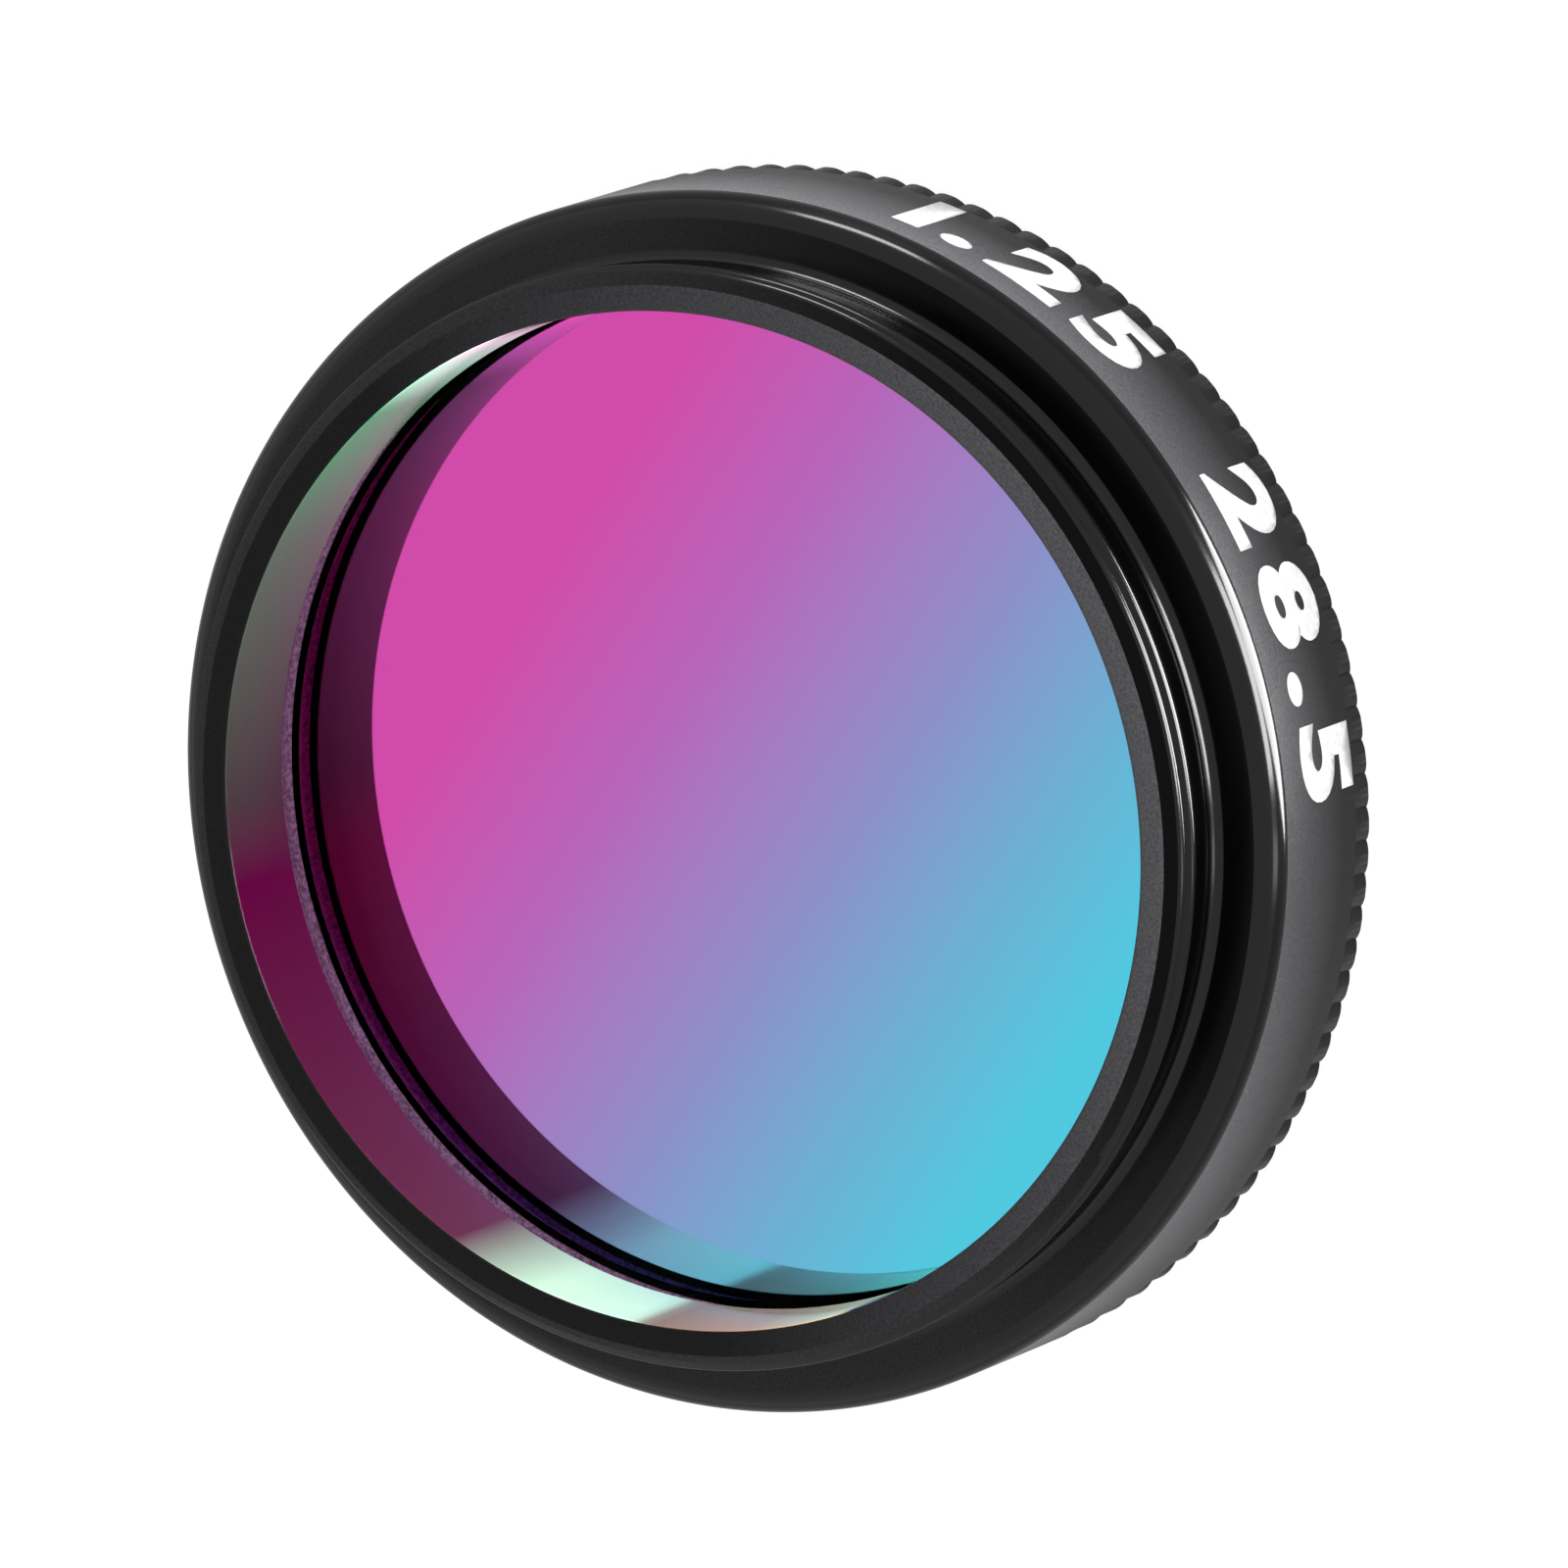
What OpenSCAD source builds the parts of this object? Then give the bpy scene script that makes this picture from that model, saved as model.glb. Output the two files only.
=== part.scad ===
// Screw-in optical bandpass filter for a 1.25 inch eyepiece, in millimetres.
// A black turned cell holds one round coated glass. The glass sits against a lip behind the
// male thread and a slotted ring screws in behind it. The female thread that takes the ring
// also takes the next filter. The origin is the middle of the rear face, +Z points out of the
// male thread, and the filter stands on its rear face.

/* [Cell body] */
// Width of the shoulder, from the nominal thread diameter out to the wall of the cell
shoulder_w = 1.55; // [1.2:0.05:3]
// Height of the wide body, from the rear face to the shoulder
body_h = 5.5; // [5.3:0.1:8]
// Width of the chamfer on the outer corner of the shoulder
shoulder_chamfer = 0.33; // [0.1:0.01:0.6]
// Width of the chamfer round the outside of the rear face
rear_chamfer = 0.12; // [0.05:0.01:0.3]

/* [Grip] */
// Number of grooves in the coin-edge grip round the rear rim
grip_grooves = 114; // [60:1:130]
// Height of the grooved band above the rear face
grip_h = 0.9; // [0.5:0.1:2]
// Depth of each groove
grip_depth = 0.15; // [0.05:0.01:0.2]
// Radius of the cutter that makes each groove
grip_cutter_r = 0.25; // [0.22:0.01:0.3]

/* [Threads] */
// Nominal diameter of the male and the female thread
thread_d = 28.5; // [28.2:0.1:29.5]
// Pitch of both threads
thread_pitch = 0.6; // [0.4:0.05:0.75]
// Allowance that a male thread is smaller by, on the diameter
thread_allowance = 0.05; // [0.02:0.01:0.1]
// Length of the male thread, from the front face
thread_l = 1.25; // [0.8:0.05:1.6]
// Height of the male boss above the shoulder
boss_h = 2.3; // [2:0.1:3]
// Depth of the plain relief between the male thread and the shoulder, below the nominal radius
relief_depth = 0.3; // [0.2:0.02:0.36]
// Radius of the fillet where the relief meets the shoulder
relief_fillet = 0.3; // [0.1:0.05:0.4]
// Width of the flat lead-in at the start of the male thread, across the front face
lead_w = 0.45; // [0.3:0.05:0.5]
// Height of the lead-in, along the axis
lead_h = 0.25; // [0.15:0.05:0.4]
// Chamfer at the mouth of the female thread
mouth_chamfer = 0.35; // [0.1:0.05:0.5]

/* [Glass seat] */
// Width of the edge of the glass that the lip covers
lip_cover = 0.4; // [0.3:0.05:1.5]
// Depth of the lip's back face below the front face
lip_depth = 3; // [2.6:0.1:3.4]
// Edge break on the front edge of the aperture
aperture_break = 0.12; // [0.05:0.01:0.2]
// Width of the ledge between the female thread and the glass pocket
pocket_ledge = 0.375; // [0.1:0.025:0.8]
// Radial clearance between the glass and its pocket
glass_gap = 0.05; // [0.03:0.01:0.1]
// How far the glass stands out of its pocket, so that the ring clamps it
glass_stand = 0.3; // [0.1:0.05:0.5]

/* [Glass] */
// Thickness of the glass
glass_t = 1.6; // [1:0.1:2]
// Protective bevel round both faces of the glass
glass_bevel = 0.15; // [0.05:0.05:0.25]

/* [Retaining ring] */
// Height of the ring
ring_h = 0.9; // [0.8:0.1:1.3]
// Radial width of the ring, from its thread's crest to its bore
ring_w = 1.125; // [0.9:0.025:2]
// Chamfer on the outer edges of the ring
ring_chamfer = 0.12; // [0.05:0.01:0.2]
// Number of spanner slots across the rear face of the ring
slots = 2; // [2:2:4]
// Width of each spanner slot
slot_w = 1.2; // [0.8:0.1:2]
// Depth of each spanner slot
slot_depth = 0.45; // [0.3:0.05:0.6]

/* [Hidden] */
// Sides of the turned surfaces, and of the small rounds in their sections
turned_fn = 120;
round_fn = 24;
groove_fn = 16;
// Cutters reach this far past the face that they open
over = 1;

cell_r = thread_d / 2 + shoulder_w;
total_h = body_h + boss_h;
// Threads are drawn as plain cylinders. A male thread is drawn at its crest. The female thread
// is drawn at its crest too, which stands 0.5413 of a pitch inside the root, but where the
// ring is screwed into it, the female thread is drawn at its root.
male_r = (thread_d - thread_allowance) / 2;
root_r = thread_d / 2;
female_r = root_r - 0.5413 * thread_pitch;
relief_r = thread_d / 2 - relief_depth;
// The pocket is bored inside the female thread, and the glass and the aperture inside the pocket
pocket_r = female_r - pocket_ledge;
glass_r = pocket_r - glass_gap;
aperture_r = glass_r - lip_cover;
// Heights from the rear face: lip, foot of the pocket, glass, ring
lip_z = total_h - lip_depth;
pocket_z = lip_z - glass_t + glass_stand;
glass_z = lip_z - glass_t;
ring_z = glass_z - ring_h;

black_anodised = [0.10, 0.10, 0.11];
coated_glass = [0.75, 0.35, 0.75, 0.7];

// Section of the wide body: a full block with both outer corners chamfered
module body_section() {
    polygon([
        [0, 0],
        [cell_r - rear_chamfer, 0],
        [cell_r, rear_chamfer],
        [cell_r, body_h - shoulder_chamfer],
        [cell_r - shoulder_chamfer, body_h],
        [0, body_h]
    ]);
}

// Section of the boss: relief with its fillet, then the crest line of the thread
module boss_section() {
    translate([0, body_h])
        square([relief_r, boss_h]);
    difference() {
        translate([relief_r - over, body_h - over])
            square(over + relief_fillet);
        translate([relief_r + relief_fillet, body_h + relief_fillet])
            circle(r = relief_fillet, $fn = round_fn);
    }
    // The thread ends on a 45 degree slope down to the relief, and starts at the flat lead-in
    slope = male_r - relief_r;
    polygon([
        [0, total_h - thread_l - slope],
        [relief_r, total_h - thread_l - slope],
        [male_r, total_h - thread_l],
        [male_r, total_h - lead_h],
        [male_r - lead_w, total_h],
        [0, total_h]
    ]);
}

// Section of all that is bored out: aperture, glass pocket and female thread
module bore_section() {
    polygon([
        [0, -over],
        [female_r + mouth_chamfer + over, -over],
        [female_r, mouth_chamfer],
        [female_r, ring_z],
        [root_r, ring_z],
        [root_r, pocket_z],
        [pocket_r, pocket_z],
        [pocket_r, lip_z],
        [aperture_r, lip_z],
        [aperture_r, total_h - aperture_break],
        [aperture_r + aperture_break + over, total_h + over],
        [0, total_h + over]
    ]);
}

// Coin-edge grip: round-bottomed grooves, evenly spaced round the rear rim
module grip_cutters() {
    for (i = [0 : grip_grooves - 1])
        rotate(360 / grip_grooves * i)
            translate([cell_r - grip_depth + grip_cutter_r, 0, -over])
                cylinder(r = grip_cutter_r, h = grip_h + over, $fn = groove_fn);
}

module filter_cell() {
    color(black_anodised)
        difference() {
            rotate_extrude($fn = turned_fn)
                difference() {
                    union() {
                        body_section();
                        boss_section();
                    }
                    bore_section();
                }
            grip_cutters();
        }
}

module filter_glass() {
    color(coated_glass)
        translate([0, 0, glass_z])
            rotate_extrude($fn = turned_fn)
                polygon([
                    [0, 0],
                    [glass_r - glass_bevel, 0],
                    [glass_r, glass_bevel],
                    [glass_r, glass_t - glass_bevel],
                    [glass_r - glass_bevel, glass_t],
                    [0, glass_t]
                ]);
}

module retaining_ring() {
    inner_r = male_r - ring_w;
    color(black_anodised)
        translate([0, 0, ring_z])
            difference() {
                rotate_extrude($fn = turned_fn)
                    polygon([
                        [inner_r, 0],
                        [male_r - ring_chamfer, 0],
                        [male_r, ring_chamfer],
                        [male_r, ring_h - ring_chamfer],
                        [male_r - ring_chamfer, ring_h],
                        [inner_r, ring_h]
                    ]);
                for (i = [0 : slots - 1])
                    rotate(360 / slots * i)
                        translate([0, -slot_w / 2, -over])
                            cube([male_r + over, slot_w, over + slot_depth]);
            }
}

filter_cell();
filter_glass();
retaining_ring();
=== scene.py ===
# %% [markdown]
# # A screw-in bandpass filter for a telescope eyepiece
# The real object is small: a black turned cell, 31.6 mm across and 7.8 mm high, holds one round
# glass with a coloured mirror coating. A slotted ring screws in behind the glass. The packed
# model gives the exact shapes. This lesson dresses them: threads, grip, soft edges, finishes,
# printed numbers, and then the studio round it.

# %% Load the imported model
import math

import bmesh
import bpy
from mathutils import Matrix, Vector


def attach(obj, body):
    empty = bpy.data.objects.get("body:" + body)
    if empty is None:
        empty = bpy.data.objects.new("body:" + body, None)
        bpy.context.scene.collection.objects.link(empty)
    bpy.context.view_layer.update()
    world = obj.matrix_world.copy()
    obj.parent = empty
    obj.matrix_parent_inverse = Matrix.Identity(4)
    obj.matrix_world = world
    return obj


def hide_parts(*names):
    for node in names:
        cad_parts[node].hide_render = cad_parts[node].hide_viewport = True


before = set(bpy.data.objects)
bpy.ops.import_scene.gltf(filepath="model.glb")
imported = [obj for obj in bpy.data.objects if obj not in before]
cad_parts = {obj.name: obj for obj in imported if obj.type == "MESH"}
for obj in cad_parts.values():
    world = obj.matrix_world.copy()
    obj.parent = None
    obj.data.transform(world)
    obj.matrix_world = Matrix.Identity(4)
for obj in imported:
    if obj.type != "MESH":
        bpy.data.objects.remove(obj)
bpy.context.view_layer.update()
print("packed nodes:", sorted(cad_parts))

# %% [markdown]
# ## Drawing a turned part
# A lathe makes a part from one outline that goes round an axis. The same is done here: the
# outline is drawn as a chain of points, its corners get a tiny bevel, as a file leaves them, and
# the Spin operator takes it round the optical axis. Spin ends where it began, so the two ends
# are merged, and the faces are turned to point outwards. What is milled or cut is taken out with
# a Boolean. Its Manifold solver leaves a closed shell, and each cut is checked for that and for
# the volume that it took, because a Boolean that fails does so without a word.

# %% Helpers for modelling by hand
MM = 0.001
TURN_STEPS = 360


def start_clean():
    """Leaves edit mode and deselects everything, so that an operator acts on the new piece alone."""
    if bpy.context.mode != "OBJECT":
        bpy.ops.object.mode_set(mode="OBJECT")
    bpy.ops.object.select_all(action="DESELECT")


def edit_mesh(piece):
    """The piece's mesh in edit mode, with its lookup tables ready."""
    mesh = bmesh.from_edit_mesh(piece.data)
    mesh.verts.ensure_lookup_table()
    mesh.edges.ensure_lookup_table()
    mesh.faces.ensure_lookup_table()
    return mesh


def choose(piece, kind, rule):
    """Selects the vertices, edges or faces that the rule says yes to, and nothing else."""
    bpy.ops.mesh.select_mode(type=kind)
    bpy.ops.mesh.select_all(action="DESELECT")
    mesh = edit_mesh(piece)
    chosen = {"VERT": mesh.verts, "EDGE": mesh.edges, "FACE": mesh.faces}[kind]
    count = 0
    for element in chosen:
        if rule(element):
            element.select_set(True)
            count += 1
    mesh.select_flush_mode()
    bmesh.update_edit_mesh(piece.data)
    return count


def draw_outline(name, points):
    """A closed chain of vertices through points in mm: (radius, height), or (x, y, z)."""
    points = [Vector(p if len(p) == 3 else (p[0], 0, p[1])) * MM for p in points]
    start_clean()
    bpy.ops.mesh.primitive_plane_add(size=MM, location=(0, 0, 0))
    piece = bpy.context.object
    piece.name = name
    bpy.ops.object.mode_set(mode="EDIT")
    bpy.ops.mesh.select_mode(type="VERT")
    bpy.ops.mesh.merge(type="CENTER")
    bpy.ops.transform.translate(value=points[0])
    here = points[0]
    for there in points[1:]:
        bpy.ops.mesh.extrude_region_move(TRANSFORM_OT_translate={"value": there - here})
        here = there
    ends = {0, len(points) - 1}
    choose(piece, "VERT", lambda v: v.index in ends)
    bpy.ops.mesh.edge_face_add()
    return piece


def soften_corners(piece, width, least_turn=25):
    """A small bevel on each corner of the outline that turns by more than least_turn degrees."""

    def is_corner(vertex):
        a, b = [edge.other_vert(vertex).co - vertex.co for edge in vertex.link_edges]
        return math.degrees(math.pi - a.angle(b)) > least_turn

    count = choose(piece, "VERT", is_corner)
    bpy.ops.mesh.bevel(offset=width * MM, segments=3, affect="VERTICES", offset_type="OFFSET")
    return count


def spin_outline(piece):
    """Takes the outline once round the optical axis and closes the seam."""
    bpy.ops.mesh.select_all(action="SELECT")
    bpy.ops.mesh.spin(
        steps=TURN_STEPS, angle=2 * math.pi, center=(0, 0, 0), axis=(0, 0, 1)
    )
    bpy.ops.mesh.select_all(action="SELECT")
    bpy.ops.mesh.remove_doubles(threshold=0.0005 * MM)
    bpy.ops.mesh.normals_make_consistent(inside=False)
    bpy.ops.object.mode_set(mode="OBJECT")


def shell(piece):
    """How many edges of a piece aren't shared by two faces, and its volume in mm3."""
    mesh = bmesh.new()
    mesh.from_mesh(piece.data)
    open_edges = sum(1 for edge in mesh.edges if len(edge.link_faces) != 2)
    volume = mesh.calc_volume(signed=True) / MM**3
    mesh.free()
    return open_edges, volume


def cut_away(piece, cutter):
    """Takes the cutter's space out of the piece, and stops the script if the cut went wrong."""
    before, most = shell(piece)[1], shell(cutter)[1]
    start_clean()
    bpy.context.view_layer.objects.active = piece
    piece.select_set(True)
    cut = piece.modifiers.new("cut", "BOOLEAN")
    cut.operation = "DIFFERENCE"
    cut.solver = "MANIFOLD"
    cut.object = cutter
    bpy.ops.object.modifier_apply(modifier=cut.name)
    bpy.data.objects.remove(cutter)
    # The solver leaves an empty material slot, which would shift the finishes given later
    piece.data.materials.clear()
    open_edges, after = shell(piece)
    if open_edges or not 0 < before - after < most:
        raise RuntimeError(f"the cut into {piece.name} went wrong: {open_edges} open edges")


def describe(piece):
    """Prints how many faces a piece has and whether its shell is closed."""
    open_edges, volume = shell(piece)
    faces = len(piece.data.polygons)
    print(f"{piece.name}: {faces} faces, {open_edges} open edges, {volume:.0f} mm3")


# %% [markdown]
# ## The cell's outline
# The cell is one piece of aluminium. From the rear it has the mouth of the female thread, the
# wall, the rounded corner of the shoulder, a relief groove with a fillet at its foot, the male
# thread with a flat lead-in, and the lip, which falls off a little outwards. Inside are the
# aperture, the pocket for the glass and the seat of the ring. The rounds are arcs of points. The
# wall is 0.015 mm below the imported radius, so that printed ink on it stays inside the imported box.

# %% Draw and spin the cell
CELL_R, INK = 15.8, 0.015
TOTAL_H, BODY_H = 7.8, 5.5
MALE_R, RELIEF_R, FILLET = 14.225, 14.05, 0.35
ROOT_R, FEMALE_R = 14.25, 13.925
APERTURE_R, POCKET_R = 13.1, 13.55
LIP_Z, POCKET_Z, RING_Z = 4.8, 3.5, 2.3
WALL_R = CELL_R - INK
MOUTH, REAR_BREAK, CORNER = 0.35, 0.12, 0.7
RELIEF_TOP, THREAD_END = 6.56, 6.735
LEAD_ROUND, LEAD_Z = 0.215, 7.405
LIP_OUTER_R, LIP_FALL, APERTURE_BREAK = 13.775, 0.05, 0.08
FILE_MARK = 0.035


def arc(centre_r, centre_z, radius, first, last, steps):
    """Points of an arc in mm, from one angle to another, in degrees from straight outwards."""
    points = []
    for step in range(steps + 1):
        turn = math.radians(first + (last - first) * step / steps)
        points.append((centre_r + radius * math.cos(turn), centre_z + radius * math.sin(turn)))
    return points


cell_outline = [
    (FEMALE_R + MOUTH, 0),
    (WALL_R - REAR_BREAK, 0),
    (WALL_R, REAR_BREAK),
    *arc(WALL_R - CORNER, BODY_H - CORNER, CORNER, 0, 90, 12),
    *arc(RELIEF_R + FILLET, BODY_H + FILLET, FILLET, 270, 180, 8),
    (RELIEF_R, RELIEF_TOP),
    (MALE_R, THREAD_END),
    *arc(MALE_R - LEAD_ROUND, LEAD_Z, LEAD_ROUND, 0, 65, 6),
    (LIP_OUTER_R, TOTAL_H - LIP_FALL),
    (APERTURE_R + APERTURE_BREAK, TOTAL_H),
    (APERTURE_R, TOTAL_H - APERTURE_BREAK),
    (APERTURE_R, LIP_Z),
    (POCKET_R, LIP_Z),
    (POCKET_R, POCKET_Z),
    (ROOT_R, POCKET_Z),
    (ROOT_R, RING_Z),
    (FEMALE_R, RING_Z),
    (FEMALE_R, MOUTH),
]
cell = draw_outline("turned_cell", cell_outline)
print("corners softened:", soften_corners(cell, FILE_MARK))
spin_outline(cell)
describe(cell)

# %% [markdown]
# ## Cutting a thread
# A lathe cuts a thread with a pointed tool that moves along while the part turns. A Screw
# modifier does the same to the tool's outline, and the swept shape is then taken out of the
# blank with a Boolean. The tool's outline is rounded where it meets the crest, which leaves the
# crest rounded too, so that it catches a line of light. The sweep and the blank have the same
# steps, so the sweep starts half a step round: its edges then cross the blank's faces cleanly,
# and none lies along an edge of the blank.

# %% A helper that sweeps a thread cutter
PITCH = 0.6


def thread_cutter(name, outline, start_angle, start_z, turns):
    """Sweeps an outline of radius and height in mm along a right-handed helix, ends closed."""
    half_step = 180 / TURN_STEPS
    start_angle += half_step
    start_z += PITCH * half_step / 360
    cutter = draw_outline(name, [(radius, start_z + height) for radius, height in outline])
    bpy.ops.mesh.select_all(action="SELECT")
    bpy.ops.transform.rotate(
        value=-math.radians(start_angle), orient_axis="Z", center_override=(0, 0, 0)
    )
    bpy.ops.object.mode_set(mode="OBJECT")
    sweep = cutter.modifiers.new("sweep", "SCREW")
    sweep.axis = "Z"
    sweep.angle = 2 * math.pi * turns
    sweep.screw_offset = PITCH * MM * turns
    sweep.steps = sweep.render_steps = round(TURN_STEPS * turns)
    sweep.use_merge_vertices = False
    bpy.ops.object.modifier_apply(modifier=sweep.name)
    bpy.ops.object.mode_set(mode="EDIT")
    choose(cutter, "EDGE", lambda edge: len(edge.link_faces) == 1)
    bpy.ops.mesh.fill_holes(sides=0)
    bpy.ops.mesh.select_all(action="SELECT")
    bpy.ops.mesh.normals_make_consistent(inside=False)
    bpy.ops.object.mode_set(mode="OBJECT")
    return cutter


# %% Cut the male thread
CREST_HALF, CREST_ROUND, THREAD_FOOT = 0.2914, 0.15, 13.97
MALE_START, MALE_START_Z, MALE_TURNS = -155, 6.51, 3.3
BEYOND = 0.3
crest_arc = []
for degrees in (60, 45, 30, 15, 0):
    turn = math.radians(degrees)
    crest_arc.append(
        (
            MALE_R - CREST_ROUND + CREST_ROUND * math.cos(turn),
            CREST_HALF - CREST_ROUND * math.sin(turn),
        )
    )
flank_r, flank_z = crest_arc[0]
foot_z = flank_z - (flank_r - THREAD_FOOT) * math.tan(math.radians(30))
side = [(THREAD_FOOT, foot_z), *crest_arc, (MALE_R + BEYOND, CREST_HALF)]
male_tool = [*side, *[(radius, -height) for radius, height in reversed(side)]]
male_cutter = thread_cutter(
    "male_cutter", male_tool, MALE_START, MALE_START_Z, MALE_TURNS
)
cut_away(cell, male_cutter)
describe(cell)

# %% Cut the female thread
FEMALE_START_Z, FEMALE_TURNS = -0.5, 5.3
ROOT_HALF, BORE_HALF = 0.04, 0.222
side = [(ROOT_R - 0.01, ROOT_HALF), (FEMALE_R, BORE_HALF), (FEMALE_R - BEYOND, BORE_HALF)]
female_tool = [*side, *[(radius, -height) for radius, height in reversed(side)]]
female_cutter = thread_cutter("female_cutter", female_tool, 0, FEMALE_START_Z, FEMALE_TURNS)
cut_away(cell, female_cutter)
describe(cell)

# %% [markdown]
# ## The coin-edge grip
# Round the rear rim run 114 small rounded teeth, like those of a coin. One gap between two teeth
# is drawn, with its two curved flanks, and pulled up to a block. Spin with duplicates sets 114 of
# them round the rim, each turned to its place, and one Boolean takes them all out.

# %% Cut the grip
TEETH, TOOTH_ROUND, GRIP_H = 114, 0.7, 0.9
half_tooth = math.pi / TEETH
centre_r = WALL_R - TOOTH_ROUND
reach = half_tooth + math.asin(centre_r * math.sin(half_tooth) / TOOTH_ROUND)
flank = []
for step in range(8):
    turn = half_tooth - reach * (0.06 + 0.92 * step / 7)
    flank.append(
        (
            centre_r * math.cos(half_tooth) + TOOTH_ROUND * math.cos(turn),
            centre_r * math.sin(half_tooth) + TOOTH_ROUND * math.sin(turn),
            -BEYOND,
        )
    )
gap = [(WALL_R + 0.2, flank[0][1], -BEYOND), *flank]
gap += [(x, -y, z) for x, y, z in reversed(gap)]
grip_cutter = draw_outline("grip_cutter", gap)
bpy.ops.mesh.select_all(action="SELECT")
bpy.ops.mesh.edge_face_add()
bpy.ops.mesh.extrude_region_move(
    TRANSFORM_OT_translate={"value": (0, 0, (GRIP_H + BEYOND) * MM)}
)
bpy.ops.mesh.select_all(action="SELECT")
bpy.ops.mesh.spin(
    steps=TEETH - 1,
    dupli=True,
    angle=2 * math.pi * (TEETH - 1) / TEETH,
    center=(0, 0, 0),
    axis=(0, 0, 1),
)
bpy.ops.mesh.select_all(action="SELECT")
bpy.ops.mesh.normals_make_consistent(inside=False)
bpy.ops.object.mode_set(mode="OBJECT")
describe(grip_cutter)
cut_away(cell, grip_cutter)
describe(cell)

# %% [markdown]
# ## The glass
# The glass is a disc with a small protective bevel on both faces. A cylinder is added at its
# place, and its two rims are bevelled in edit mode. Its edge is ground and its rear face carries
# the coating, so its faces get three finishes.

# %% Model the glass
GLASS_R, GLASS_T, GLASS_BEVEL = 13.5, 1.6, 0.15
GLASS_Z = LIP_Z - GLASS_T
start_clean()
bpy.ops.mesh.primitive_cylinder_add(
    vertices=TURN_STEPS,
    radius=GLASS_R * MM,
    depth=GLASS_T * MM,
    location=(0, 0, (GLASS_Z + GLASS_T / 2) * MM),
)
glass = bpy.context.object
glass.name = "coated_window"
bpy.ops.object.transform_apply(location=True, rotation=True, scale=True)
bpy.ops.object.mode_set(mode="EDIT")
rims = choose(glass, "EDGE", lambda e: abs(e.verts[0].co.z - e.verts[1].co.z) < 1e-7)
bpy.ops.mesh.bevel(
    offset=GLASS_BEVEL * MM, segments=1, affect="EDGES", offset_type="OFFSET"
)
bpy.ops.object.mode_set(mode="OBJECT")
print("rim edges bevelled:", rims)
describe(glass)

# %% [markdown]
# ## The retaining ring
# The ring is turned like the cell, then two slots are milled across its rear face for a spanner.
# Each slot is a block that is longer than the ring is wide. A Bevel modifier breaks the edges
# that the milling left.

# %% Turn the ring and mill its slots
RING_H, RING_W, RING_BREAK = 0.9, 1.125, 0.12
SLOT_W, SLOT_D, MILLED_BREAK = 1.2, 0.45, 0.03
ring_outline = [
    (MALE_R - RING_W, RING_Z),
    (MALE_R - RING_BREAK, RING_Z),
    (MALE_R, RING_Z + RING_BREAK),
    (MALE_R, RING_Z + RING_H - RING_BREAK),
    (MALE_R - RING_BREAK, RING_Z + RING_H),
    (MALE_R - RING_W, RING_Z + RING_H),
]
ring = draw_outline("slotted_ring", ring_outline)
spin_outline(ring)
start_clean()
bpy.ops.mesh.primitive_cube_add(size=1)
slot_cutter = bpy.context.object
bpy.ops.object.mode_set(mode="EDIT")
bpy.ops.transform.resize(value=(40 * MM, SLOT_W * MM, 2 * SLOT_D * MM))
bpy.ops.transform.translate(value=(0, 0, RING_Z * MM))
bpy.ops.object.mode_set(mode="OBJECT")
cut_away(ring, slot_cutter)
edges = ring.modifiers.new("broken edges", "BEVEL")
edges.width, edges.segments = MILLED_BREAK * MM, 2
edges.limit_method, edges.angle_limit = "ANGLE", math.radians(40)
bpy.ops.object.modifier_apply(modifier=edges.name)
describe(ring)

# %% [markdown]
# ## The printed numbers
# Two plain numbers are printed in white on the wall, with their tops towards the grip. Each
# figure is its own text object. It is made a mesh, cut into narrow strips so that it can bend,
# stood on the wall at its angle, and drawn onto the wall by a Shrinkwrap modifier. A Solidify
# modifier gives it the thickness of ink.

# %% Print one figure
FIGURE_H, FIGURE_FOOT = 2.75, 3.72
STRIP_W, FIGURE_SPACE, FIGURE_WIDER = 0.15, 1.9, 1.2
BOLDER, FONT_CAP_H = 0.045, 0.78


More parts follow.
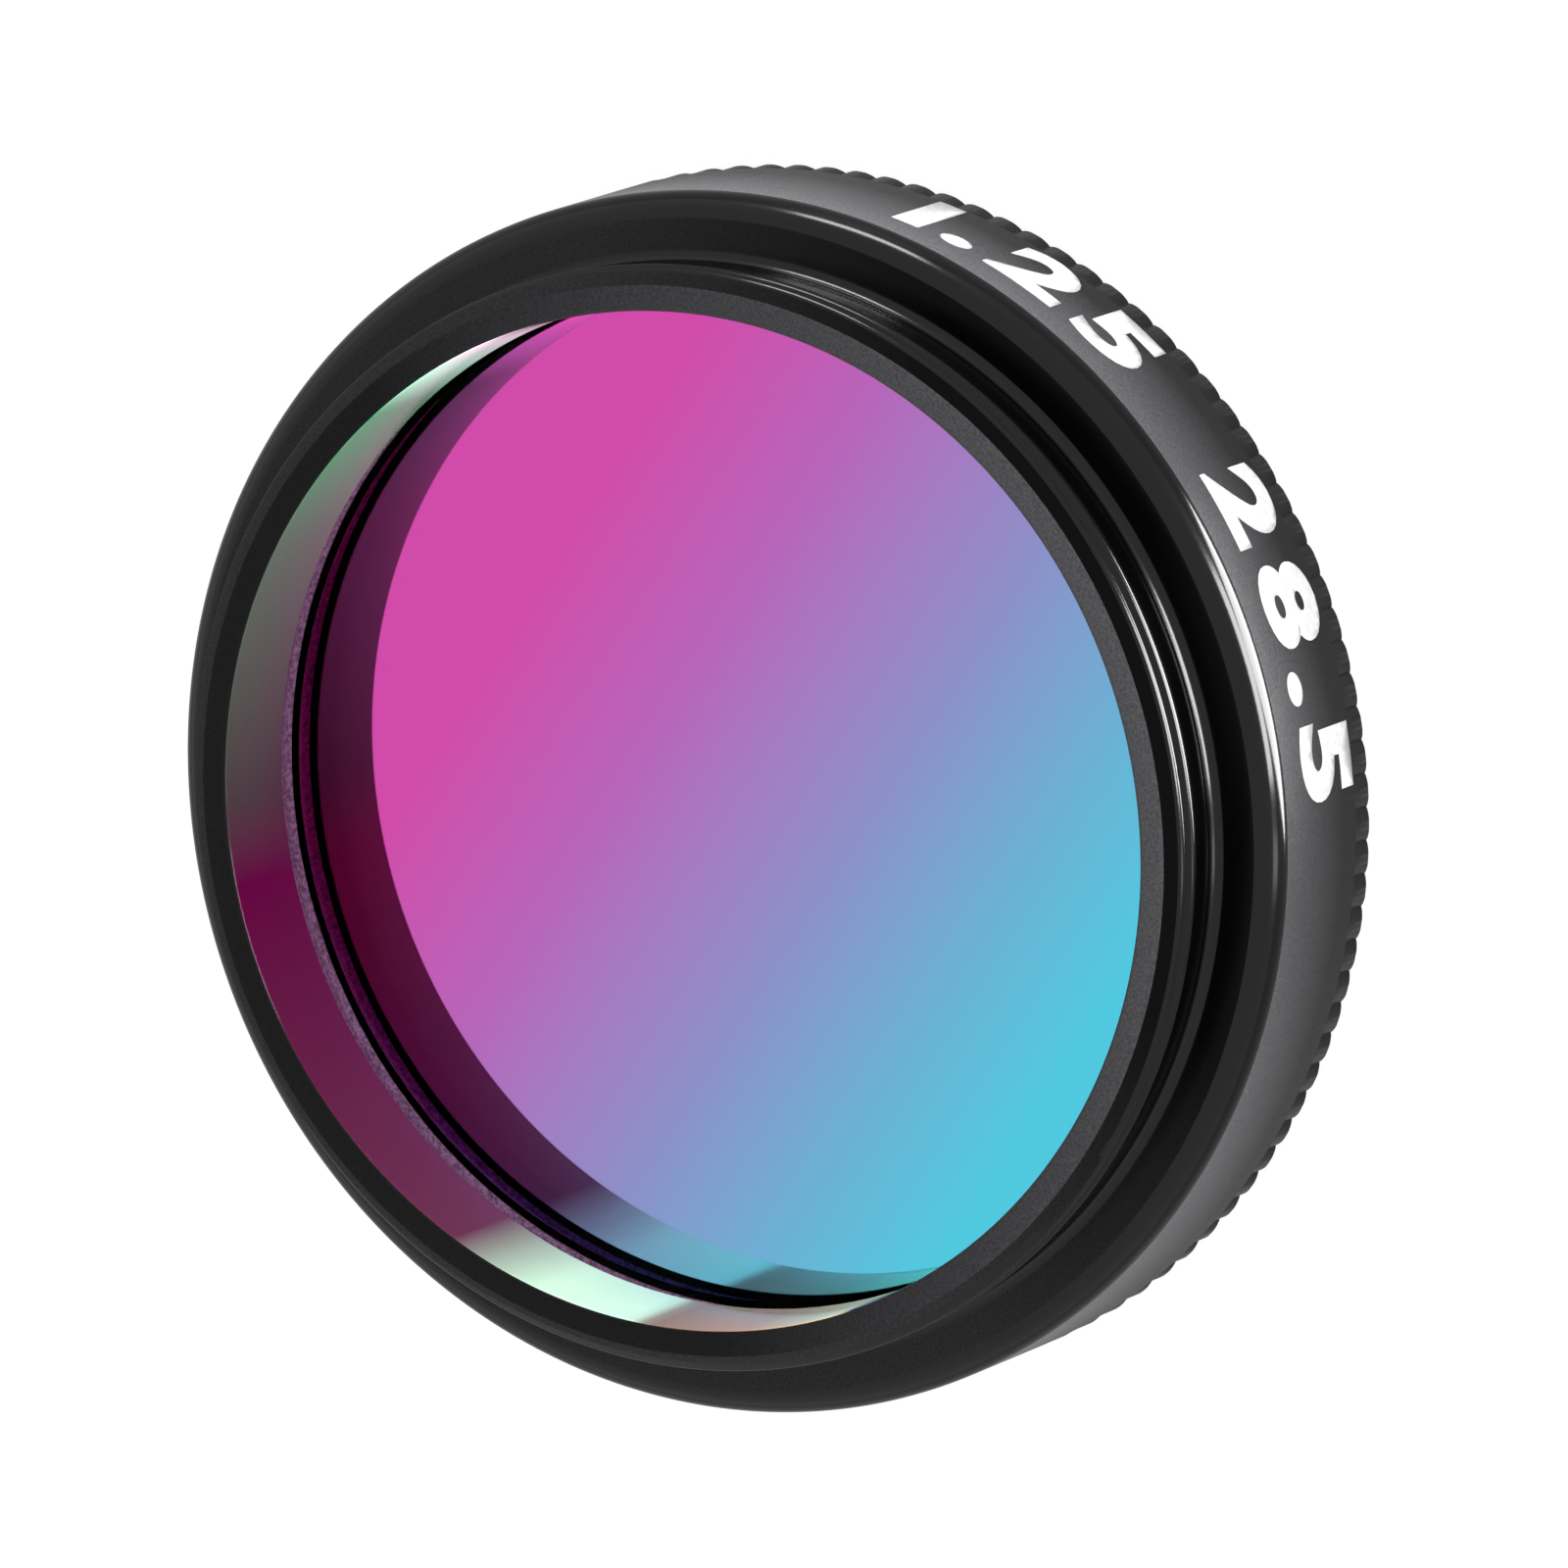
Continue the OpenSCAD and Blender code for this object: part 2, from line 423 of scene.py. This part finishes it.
def print_figure(name, character, left_angle):
    """Prints a character with its left side at an angle round the wall; returns its right side."""
    start_clean()
    bpy.ops.object.text_add()
    text = bpy.context.object
    text.data.body = character
    text.data.offset = BOLDER
    text.data.resolution_u = 6
    bpy.ops.object.convert(target="MESH")
    figure = bpy.context.object
    figure.name = name
    left = min(v.co.x for v in figure.data.vertices)
    right = max(v.co.x for v in figure.data.vertices)
    high = FIGURE_H * MM / FONT_CAP_H
    size = Vector((high * FIGURE_WIDER, high, high))
    width = (right - left) * size.x
    figure.data.transform(Matrix.Translation((-left, BOLDER, 0)))
    figure.data.transform(Matrix.Diagonal((*size, 1)))
    bpy.ops.object.mode_set(mode="EDIT")
    strips = math.ceil(width / (STRIP_W * MM))
    for strip in range(1, strips):
        bpy.ops.mesh.select_all(action="SELECT")
        bpy.ops.mesh.bisect(
            plane_co=(width * strip / strips, 0, 0), plane_no=(1, 0, 0)
        )
    bpy.ops.object.mode_set(mode="OBJECT")
    half = width / 2 / (WALL_R * MM)
    upright = Matrix.Rotation(math.pi, 4, "Y") @ Matrix.Rotation(math.pi / 2, 4, "X")
    place = Matrix.Rotation(-math.radians(left_angle) - half, 4, "Z")
    place = place @ Matrix.Translation((width / 2, -WALL_R * MM - 0.0001, FIGURE_FOOT * MM))
    figure.data.transform(place @ upright)
    wrap = figure.modifiers.new("wrap", "SHRINKWRAP")
    wrap.target, wrap.wrap_method = cell, "NEAREST_SURFACEPOINT"
    wrap.wrap_mode, wrap.offset = "ABOVE_SURFACE", 0.002 * MM
    bpy.ops.object.modifier_apply(modifier=wrap.name)
    ink = figure.modifiers.new("ink", "SOLIDIFY")
    ink.thickness, ink.offset = (INK - 0.004) * MM, 1
    bpy.ops.object.modifier_apply(modifier=ink.name)
    return figure, left_angle + math.degrees(2 * half)


# %% Print both numbers
figures = []
for number, first_angle in (("1.25", -53), ("28.5", -14)):
    angle = first_angle
    for place, character in enumerate(number):
        label = number.replace(".", "_")
        figure, angle = print_figure(f"figure_{label}_{place + 1}", character, angle)
        figures.append(figure)
        angle += FIGURE_SPACE
    print(number, "runs from", first_angle, "to", round(angle - FIGURE_SPACE, 1), "degrees")
for figure in figures:
    describe(figure)

# %% [markdown]
# ## Smooth turned faces
# Shade Smooth by Angle blends the normals of faces that meet at a shallow angle and keeps the
# real corners sharp, so that the turned walls and the threads don't show their facets.

# %% Smooth the pieces
for piece in (cell, glass, ring):
    start_clean()
    bpy.context.view_layer.objects.active = piece
    piece.select_set(True)
    bpy.ops.object.shade_smooth_by_angle(angle=math.radians(30))
print("smoothed:", [piece.name for piece in (cell, glass, ring)])

# %% [markdown]
# ## Node helpers
# Each finish is a node tree. All patterns are laid out in Object coordinates, in metres, so they
# stay on the part in every view. These helpers add a node with its settings and its links in one
# line.

# %% Helpers for materials
def new_finish(name):
    """A material with an empty tree but for its shader and its output."""
    material = bpy.data.materials.new(name)
    material.use_nodes = True
    tree = material.node_tree
    shader = tree.nodes["Principled BSDF"]
    return material, tree, shader


def add_node(tree, kind, inputs=(), **settings):
    """Adds a node, sets its properties, and sets or links its inputs."""
    node = tree.nodes.new(kind)
    for name, value in settings.items():
        setattr(node, name, value)
    for socket, value in dict(inputs).items():
        if isinstance(value, bpy.types.NodeSocket):
            tree.links.new(value, node.inputs[socket])
        else:
            node.inputs[socket].default_value = value
    return node


def calculate(tree, operation, a, b=0.5):
    """One Math node's result."""
    return add_node(tree, "ShaderNodeMath", {0: a, 1: b}, operation=operation).outputs[0]


def colour_ramp(tree, factor, stops, interpolation="LINEAR"):
    """A Color Ramp through (position, colour) stops."""
    node = add_node(tree, "ShaderNodeValToRGB", {0: factor})
    ramp = node.color_ramp
    ramp.interpolation = interpolation
    for position, colour in stops[2:]:
        ramp.elements.new(position)
    for element, (position, colour) in zip(ramp.elements, stops):
        element.position = position
        element.color = (*colour, 1)
    return node.outputs[0]


# %% [markdown]
# ## Black anodised aluminium
# Anodising leaves a hard black skin with a soft gloss. Under it, the turning tool's fine rings
# still show. The rings are noise that depends only on the distance from the axis and the height,
# so they run round the part on every turned face. Light and shade are painted into the black as
# gradients by place. The wall is painted darker towards the rear rim, a painted shade where it
# would mirror the floor's shadow, and painted lighter on the key light's side; the lip, the flat
# shoulder and the turned edges are painted lighter on one side. Four variants of the one finish
# differ in gloss and in this painted light and shade: wall and inside, the flat shoulder, the
# turned edges and threads, and the lip.

# %% The anodised finish
def turned_rings(tree, place):
    """Height of fine tool marks that run round the axis."""
    parts = add_node(tree, "ShaderNodeSeparateXYZ", {0: place})
    flat = add_node(tree, "ShaderNodeCombineXYZ", {0: parts.outputs[0], 1: parts.outputs[1]})
    radius = add_node(
        tree, "ShaderNodeVectorMath", {0: flat.outputs[0]}, operation="LENGTH"
    ).outputs["Value"]
    across = add_node(tree, "ShaderNodeCombineXYZ", {0: radius, 2: parts.outputs[2]})
    return add_node(
        tree,
        "ShaderNodeTexNoise",
        {"Vector": across.outputs[0], "Scale": 9000.0, "Detail": 2.0, "Roughness": 0.6},
    ).outputs[0]


def anodised(name, roughness, ior, painted_light_gradients):
    """Black anodised metal with turning marks, a fine grain and painted light and shade.

    The painted light and shade is a list of gradients, whose levels multiply. Each is an axis
    and two pairs of a place along it in mm and how light the black is there.
    """
    material, tree, shader = new_finish(name)
    place = add_node(tree, "ShaderNodeTexCoord").outputs["Object"]
    rings = turned_rings(tree, place)
    grain = add_node(
        tree, "ShaderNodeTexNoise", {"Vector": place, "Scale": 14000.0, "Detail": 3.0}
    ).outputs[0]
    cloud = add_node(
        tree, "ShaderNodeTexNoise", {"Vector": place, "Scale": 350.0, "Detail": 2.0}
    ).outputs[0]
    level = add_node(
        tree, "ShaderNodeMapRange", {0: grain, 1: 0.3, 2: 0.75, 3: 0.7, 4: 1.4}
    ).outputs[0]
    parts = add_node(tree, "ShaderNodeSeparateXYZ", {0: place}).outputs
    # Each gradient paints light or shade into the black's level
    for axis, (start, start_level), (end, end_level) in painted_light_gradients:
        shade = add_node(
            tree,
            "ShaderNodeMapRange",
            {0: parts[axis], 1: start * MM, 2: end * MM, 3: start_level, 4: end_level},
        ).outputs[0]
        level = calculate(tree, "MULTIPLY", level, shade)
    cool = add_node(
        tree, "ShaderNodeVectorMath", {0: (1, 1, 1.08), "Scale": level}, operation="SCALE"
    )
    tree.links.new(cool.outputs[0], shader.inputs["Base Color"])
    spread = calculate(tree, "MULTIPLY_ADD", cloud, 0.08)
    spread.node.inputs[2].default_value = roughness - 0.04
    tree.links.new(spread, shader.inputs["Roughness"])
    shader.inputs["IOR"].default_value = ior
    height = add_node(tree, "ShaderNodeMix", {0: 0.35, 2: rings, 3: grain}).outputs[0]
    bump = add_node(
        tree, "ShaderNodeBump", {"Strength": 0.06, "Distance": 0.00002, "Height": height}
    )
    tree.links.new(bump.outputs[0], shader.inputs["Normal"])
    return material


# Painted shade and light: the wall is painted darker towards the rear rim, where it would mirror the
# floor's shadow, and lighter towards +X, the key light's side
black = anodised(
    "black_anodised", 0.28, 1.25, [("Z", (1.6, 0.009), (4.9, 0.09)), ("X", (0, 1), (14, 2))]
)
# Painted light: the flat shoulder and turned edges are painted lighter away from -Y, the lip lighter
# towards -Y
deep_black = anodised("deep_black_face", 0.2, 1.15, [("Y", (-11, 0.001), (-2, 0.02))])
edge_black = anodised("black_turned_edge", 0.15, 1.35, [("Y", (-11, 0.001), (-2, 0.002))])
lip_black = anodised("black_lip", 0.4, 1.15, [("Y", (-13.5, 0.06), (4, 0.006))])
print("finishes:", [m.name for m in (black, deep_black, edge_black, lip_black)])

# %% [markdown]
# ## The wall of the aperture
# The bore inside the lip throws back the colours of the coating beside it and bright patches of
# lamp light: mint, plum and grey, in patches round the axis. These are painted reflections: they
# are put in the finish as base colours, in a ramp by the angle round the axis. The wall has little
# gloss of its own, so that the ramp shows as it is written.

# %% The aperture wall's finish
# Painted reflections: base colours by angle in degrees that stand in for the coating's and the lamps'
# reflections in the bore
PAINTED_BORE_REFLECTIONS = [
    (90, (0.05, 0.02, 0.03)),
    (92, (0.80, 0.72, 0.40)),
    (104, (0.48, 0.28, 0.20)),
    (116.5, (0.26, 0.17, 0.12)),
    (118.5, (0.63, 0.95, 0.74)),
    (130, (0.61, 0.92, 0.66)),
    (142, (0.12, 0.025, 0.06)),
    (190, (0.10, 0.00, 0.04)),
    (199, (0.05, 0.04, 0.04)),
    (230, (0.09, 0.135, 0.10)),
    (251, (0.07, 0.32, 0.15)),
    (259, (0.50, 1.00, 0.72)),
    (266, (1.00, 1.00, 1.00)),
    (275, (0.05, 0.02, 0.03)),
]
aperture_wall_painted_reflections, tree, shader = new_finish("aperture_wall_painted_reflections")
place = add_node(tree, "ShaderNodeTexCoord").outputs["Object"]
parts = add_node(tree, "ShaderNodeSeparateXYZ", {0: place}).outputs
radians = calculate(tree, "ARCTAN2", parts[1], parts[0])
# The stops' angles run clockwise, from the photograph's camera side at -Y
clockwise = calculate(tree, "SUBTRACT", 1.5 * math.pi, radians)
turns = calculate(tree, "FRACT", calculate(tree, "DIVIDE", clockwise, 2 * math.pi))
stops = [(angle / 360, colour) for angle, colour in PAINTED_BORE_REFLECTIONS]
tree.links.new(colour_ramp(tree, turns, stops), shader.inputs["Base Color"])
shader.inputs["Roughness"].default_value = 0.12
shader.inputs["IOR"].default_value = 1.18
print("tints round the aperture:", len(PAINTED_BORE_REFLECTIONS))

# %% [markdown]
# ## Coated glass
# The body of the glass is clear, and its front has an anti-reflection coat, so it shows no white
# glare. A black specular tint on the shader does that. The mirror coating is a stack of thin
# films on the rear face. It works as a coloured mirror whose colour drifts across the disc, from
# pink to cyan, so it is metal-like, with a ramp along one direction. The rim is ground matt.

# %% The three finishes of the glass
COAT_DIRECTION = math.radians(-90 - 56)
COAT_STOPS = [
    (-8, (0.64, 0.07, 0.40)),
    (-3, (0.47, 0.13, 0.49)),
    (3, (0.26, 0.28, 0.58)),
    (7, (0.15, 0.43, 0.66)),
    (11, (0.08, 0.58, 0.74)),
]
polished, tree, shader = new_finish("polished_glass")
shader.inputs["Base Color"].default_value = (1, 1, 1, 1)
shader.inputs["Roughness"].default_value = 0.0
shader.inputs["IOR"].default_value = 1.52
shader.inputs["Specular Tint"].default_value = (0, 0, 0, 1)
shader.inputs["Transmission Weight"].default_value = 1.0

coating, tree, shader = new_finish("interference_coating")
place = add_node(tree, "ShaderNodeTexCoord").outputs["Object"]
along = (math.cos(COAT_DIRECTION), math.sin(COAT_DIRECTION), 0)
across_mm = add_node(
    tree, "ShaderNodeVectorMath", {0: place, 1: along}, operation="DOT_PRODUCT"
).outputs["Value"]
share = add_node(
    tree, "ShaderNodeMapRange", {0: across_mm, 1: -13 * MM, 2: 13 * MM}
).outputs[0]
stops = [((p + 13) / 26, colour) for p, colour in COAT_STOPS]
tree.links.new(colour_ramp(tree, share, stops), shader.inputs["Base Color"])
shader.inputs["Metallic"].default_value = 1.0
shader.inputs["Roughness"].default_value = 0.02

ground, tree, shader = new_finish("ground_glass_edge")
place = add_node(tree, "ShaderNodeTexCoord").outputs["Object"]
speckle = add_node(
    tree, "ShaderNodeTexNoise", {"Vector": place, "Scale": 9000.0, "Detail": 2.0}
).outputs[0]
shade = colour_ramp(tree, speckle, [(0.35, (0.10, 0.04, 0.09)), (0.65, (0.34, 0.17, 0.32))])
tree.links.new(shade, shader.inputs["Base Color"])
shader.inputs["Roughness"].default_value = 0.8

for finish in (polished, ground, coating):
    glass.data.materials.append(finish)
for face in glass.data.polygons:
    height = face.center.z / MM
    if abs(face.normal.z) > 0.99:
        face.material_index = 0 if height > GLASS_Z + GLASS_T / 2 else 2
    else:
        face.material_index = 1
print("glass finishes:", [m.name for m in glass.data.materials])

# %% [markdown]
# ## White ink
# Printed ink is matt and not quite even: a fine noise varies its white a little.

# %% The ink, and every piece's finish
ink, tree, shader = new_finish("white_ink")
place = add_node(tree, "ShaderNodeTexCoord").outputs["Object"]
mottle = add_node(
    tree, "ShaderNodeTexNoise", {"Vector": place, "Scale": 6000.0, "Detail": 2.0}
).outputs[0]
shade = colour_ramp(tree, mottle, [(0.3, (0.82, 0.82, 0.82)), (0.6, (0.93, 0.93, 0.93))])
tree.links.new(shade, shader.inputs["Base Color"])
shader.inputs["Roughness"].default_value = 0.7
shader.inputs["IOR"].default_value = 1.3
ring.data.materials.append(black)
for finish in (black, deep_black, edge_black, lip_black, aperture_wall_painted_reflections):
    cell.data.materials.append(finish)
for face in cell.data.polygons:
    height, radius = face.center.z / MM, face.center.xy.length / MM
    inwards = face.normal.xy.dot(face.center.xy) < -0.3 * face.center.xy.length
    if height < BODY_H - CORNER or radius < POCKET_R and height < LIP_Z + 0.01:
        face.material_index = 0
    elif inwards and radius < APERTURE_R + 0.03:
        face.material_index = 4
    elif radius < LIP_OUTER_R and height > TOTAL_H - 0.06:
        face.material_index = 3
    elif face.normal.z > 0.99 or height > 7.6 and radius < 14.1:
        face.material_index = 1
    else:
        face.material_index = 2
for figure in figures:
    figure.data.materials.clear()
    figure.data.materials.append(ink)
print("ink on", len(figures), "figures")

# %% [markdown]
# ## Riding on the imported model
# Nothing on the filter moves, so every piece rides on the one body. The dressed cell, glass and
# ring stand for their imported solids.

# %% Ride and replace
for piece, node, slot in (
    (cell, "filter_cell", "black_anodised"),
    (glass, "filter_glass", "coated_glass"),
    (ring, "retaining_ring", "black_anodised"),
):
    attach(piece, "root")
    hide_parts(node)
for figure in figures:
    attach(figure, "root")

# %% [markdown]
# ## The studio
# The filter stands on a plain white floor. The white that the camera sees comes from the floor's
# own glow, given to camera and transmission rays alone, so it adds no light to the filter. Its
# diffuse part keeps a soft shadow. A mirror image of the floor shows its diffuse part and a
# faint gloss. The world is white where it is seen, and a plain level of light otherwise.

# %% Floor and world
start_clean()
bpy.ops.mesh.primitive_circle_add(
    vertices=64, radius=3, fill_type="NGON", location=(0, 0, -0.02 * MM)
)
floor = bpy.context.object
floor.name = "floor"
bpy.ops.object.mode_set(mode="EDIT")
bpy.ops.mesh.inset(thickness=2.0, depth=0)
bpy.ops.object.mode_set(mode="OBJECT")
white_floor = bpy.data.materials.new("white_floor")
white_floor.use_nodes = True
tree = white_floor.node_tree
tree.nodes.clear()


def seen_directly(tree):
    """1 for camera, glossy and transmission rays, and 0 for the light on the object."""
    path = add_node(tree, "ShaderNodeLightPath").outputs
    either = calculate(tree, "MAXIMUM", path["Is Camera Ray"], path["Is Glossy Ray"])
    return calculate(tree, "MAXIMUM", either, path["Is Transmission Ray"])


mirrored = add_node(tree, "ShaderNodeLightPath").outputs["Is Glossy Ray"]
direct = calculate(tree, "SUBTRACT", seen_directly(tree), mirrored)
glow_strength = calculate(tree, "MULTIPLY", direct, 0.86)
glow_strength = calculate(
    tree, "ADD", glow_strength, calculate(tree, "MULTIPLY", mirrored, 0.05)
)
glow = add_node(tree, "ShaderNodeEmission", {0: (1, 1, 1, 1), 1: glow_strength})
albedo = add_node(tree, "ShaderNodeMapRange", {0: mirrored, 3: 0.2, 4: 0.4}).outputs[0]
matt = add_node(tree, "ShaderNodeBsdfDiffuse", {0: albedo})
polish = add_node(tree, "ShaderNodeMapRange", {0: mirrored, 3: 0.0, 4: 0.05}).outputs[0]
gloss = add_node(tree, "ShaderNodeBsdfGlossy", {0: polish, "Roughness": 0.3})
both = add_node(tree, "ShaderNodeAddShader", {0: glow.outputs[0], 1: matt.outputs[0]})
both = add_node(tree, "ShaderNodeAddShader", {0: both.outputs[0], 1: gloss.outputs[0]})
add_node(tree, "ShaderNodeOutputMaterial", {0: both.outputs[0]})
floor.data.materials.append(white_floor)

world = bpy.data.worlds.new("white_studio")
world.use_nodes = True
tree = world.node_tree
tree.nodes.clear()
level = add_node(
    tree, "ShaderNodeMapRange", {0: seen_directly(tree), 3: 0.55, 4: 1.0}
).outputs[0]
sky = add_node(tree, "ShaderNodeBackground", {0: (1, 1, 1, 1), 1: level})
add_node(tree, "ShaderNodeOutputWorld", {0: sky.outputs[0]})
bpy.context.scene.world = world
print("floor and world are white")

# %% [markdown]
# ## Softboxes
# Two softboxes light the faces: the key light, and one that shines across into the bore. Both
# are kept out of reflections. Three others are seen only in reflections, and draw the bright
# lines along rounded corners and thread crests, with a bright card on the floor beneath them.
# A softbox stands in a direction given by its angle round the axis and its height.

# %% Softboxes
def softbox(name, azimuth, elevation, distance, width, height, radiance):
    """A rectangular lamp that faces the filter, with its radiance given."""
    a, e = math.radians(azimuth), math.radians(elevation)
    towards = Vector((math.cos(a) * math.cos(e), math.sin(a) * math.cos(e), math.sin(e)))
    data = bpy.data.lights.new(name, "AREA")
    data.shape = "RECTANGLE"
    data.size, data.size_y = width, height
    data.energy = radiance * math.pi * width * height
    lamp = bpy.data.objects.new(name, data)
    bpy.context.scene.collection.objects.link(lamp)
    lamp.location = towards * distance
    lamp.rotation_mode = "QUATERNION"
    lamp.rotation_quaternion = towards.to_track_quat("Z", "Y")
    return lamp


softbox("key_light", -40, 22, 0.5, 0.3, 0.2, 13).visible_glossy = False
softbox("bore_light", -175, 20, 0.5, 0.25, 0.2, 17).visible_glossy = False
softbox("edge_light", -97, 9.5, 0.4, 0.214, 0.135, 30).visible_diffuse = False
softbox("left_edge_light", -123, 9.5, 0.4, 0.05, 0.135, 5).visible_diffuse = False
softbox("right_edge_light", -14, 12, 0.4, 0.12, 0.07, 24).visible_diffuse = False
card = softbox("card_light", -95, 0, 0.09, 0.14, 0.014, 30)
card.rotation_mode = "XYZ"
card.rotation_euler = (math.pi, 0, math.radians(-95))
card.location.z = 0.0003
card.visible_camera = card.visible_diffuse = card.visible_transmission = False

# %% [markdown]
# ## The camera
# The photograph was taken with a long lens from half a metre. The lens axis is tilted 29.5
# degrees from the filter's own axis and the picture is rolled by 19.7 degrees. The picture is
# 1600 pixels wide and the filter's front is off its middle, so the camera stands a little aside.

# %% Camera
TILT, ROLL, DISTANCE = math.radians(29.506), math.radians(-19.686), 0.5
PICTURE, SENSOR = 1600, 36
PIXELS_PER_MM = 40.268
FRONT_AT = (690.26, 840.13)
right = Vector(
    (math.sin(ROLL), -math.cos(TILT) * math.cos(ROLL), -math.sin(TILT) * math.cos(ROLL))
)
up = Vector(
    (math.cos(ROLL), math.cos(TILT) * math.sin(ROLL), math.sin(TILT) * math.sin(ROLL))
)
away = Vector((0, math.sin(TILT), -math.cos(TILT)))
aside = [(pixel - PICTURE / 2) / PIXELS_PER_MM * MM for pixel in FRONT_AT]
spot = Vector((0, 0, TOTAL_H * MM)) - right * aside[0] + up * aside[1] - away * DISTANCE
camera_data = bpy.data.cameras.new("camera")
camera_data.sensor_width = SENSOR
camera_data.lens = PIXELS_PER_MM * DISTANCE / MM * SENSOR / PICTURE
camera_data.clip_start, camera_data.clip_end = 0.01, 20
camera = bpy.data.objects.new("camera", camera_data)
bpy.context.scene.collection.objects.link(camera)
turn = Matrix((right, up, -away)).transposed().to_4x4()
camera.matrix_world = Matrix.Translation(spot) @ turn
bpy.context.scene.camera = camera
bpy.context.scene.view_settings.view_transform = "Standard"
print("lens in mm:", round(camera_data.lens, 1))
